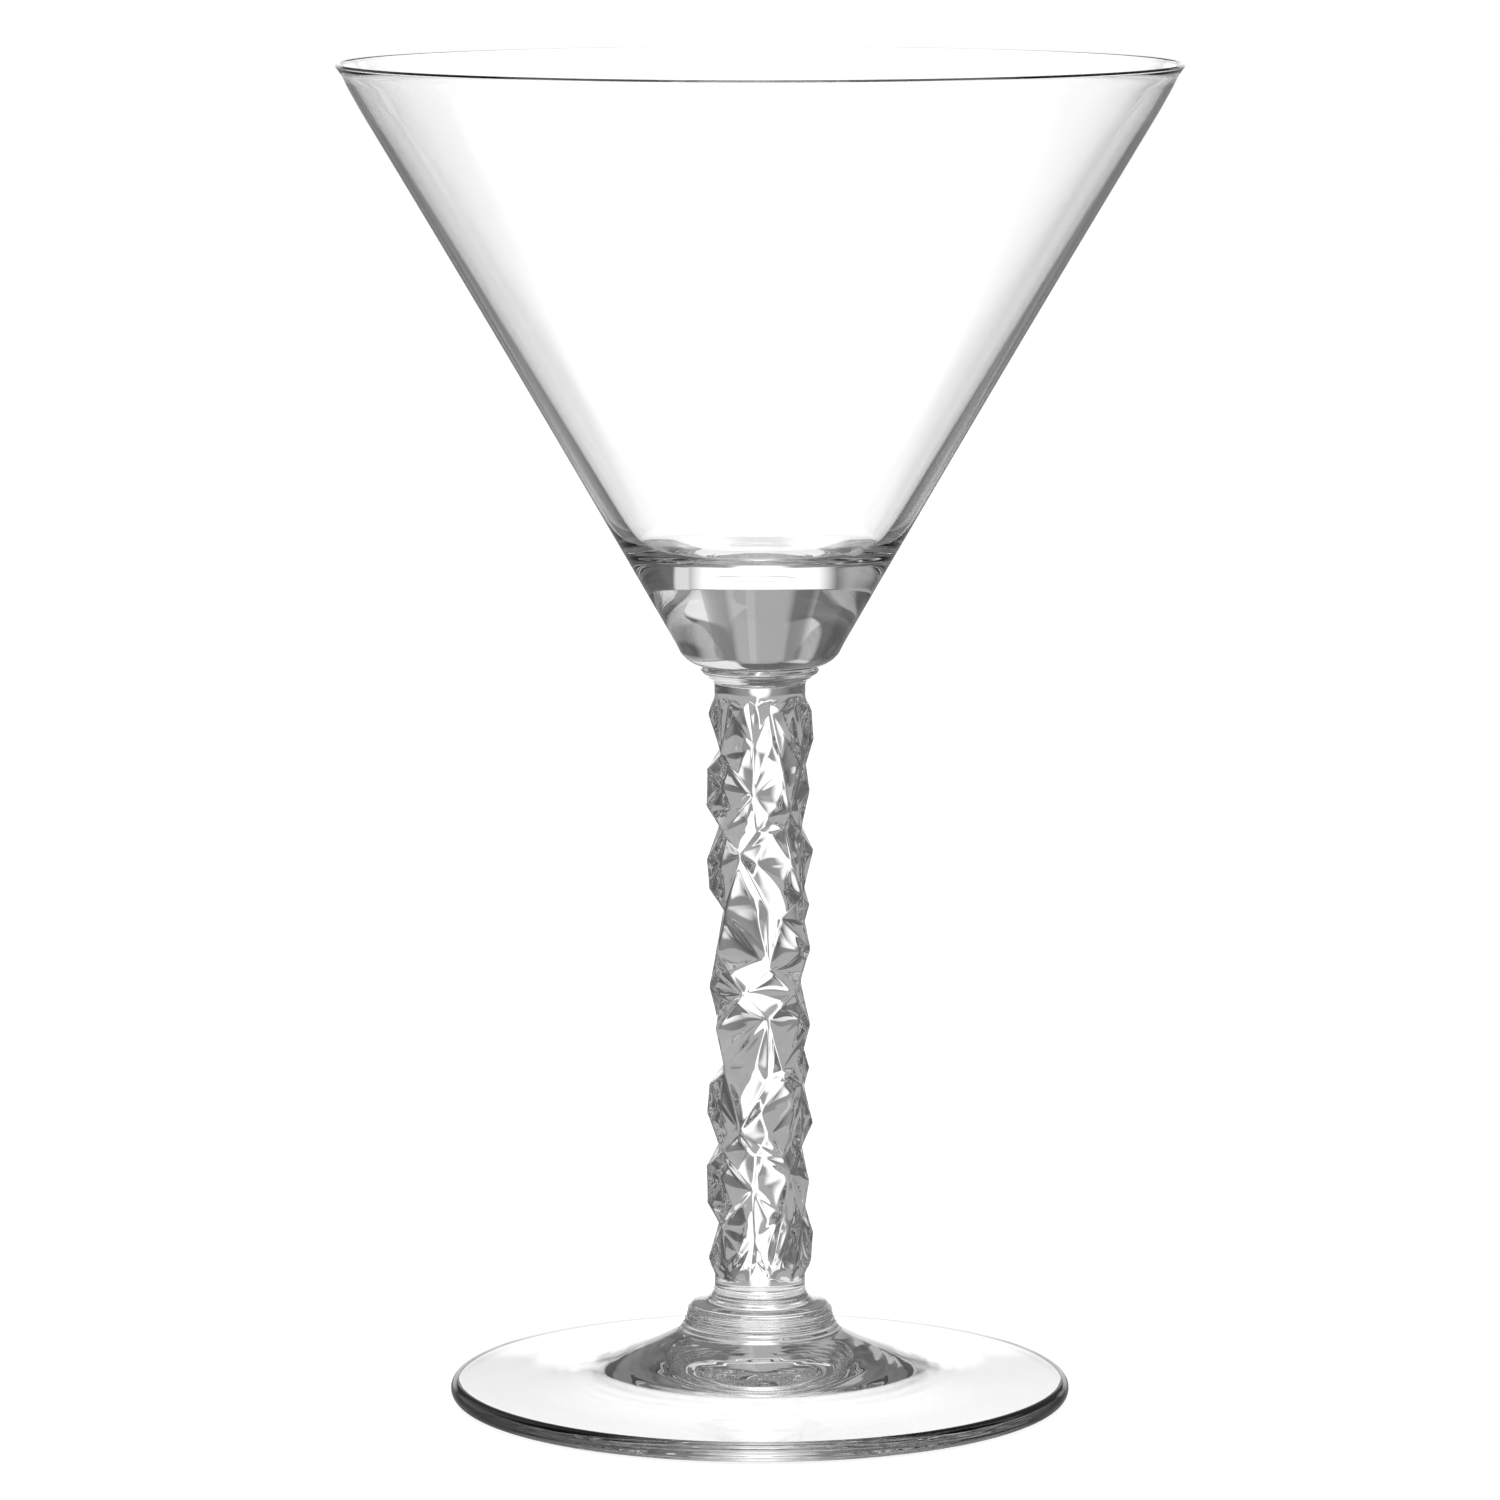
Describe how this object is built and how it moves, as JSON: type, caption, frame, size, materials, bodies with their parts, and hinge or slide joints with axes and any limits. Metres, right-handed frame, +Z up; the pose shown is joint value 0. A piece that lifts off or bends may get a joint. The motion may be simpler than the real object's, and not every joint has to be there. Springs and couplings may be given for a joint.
{
  "type": "martini glass",
  "caption": "Clear stemmed cocktail glass: wide conical bowl with a solid base, faceted pressed stem between two collars, and a broad round foot.",
  "frame": {"origin": "centre of the foot's underside, on the surface that the glass stands on", "axes": "+Z up along the glass's axis, -Y towards the viewer of the front, +X to that viewer's right"},
  "size_m": [0.1125, 0.1125, 0.18],
  "materials": {
    "bowl_glass": "fire-polished clear glass, colourless",
    "stem_glass": "pressed clear glass with flat facets and softened ridges",
    "collar_glass": "hand-worked clear glass with fine tool rings",
    "foot_glass": "fire-polished clear glass with a rounded edge"
  },
  "bodies": {
    "root": {"bowl": "bowl_glass", "upper_collar": "collar_glass", "stem": "stem_glass", "lower_collar": "collar_glass", "foot": "foot_glass"}
  },
  "joints": []
}
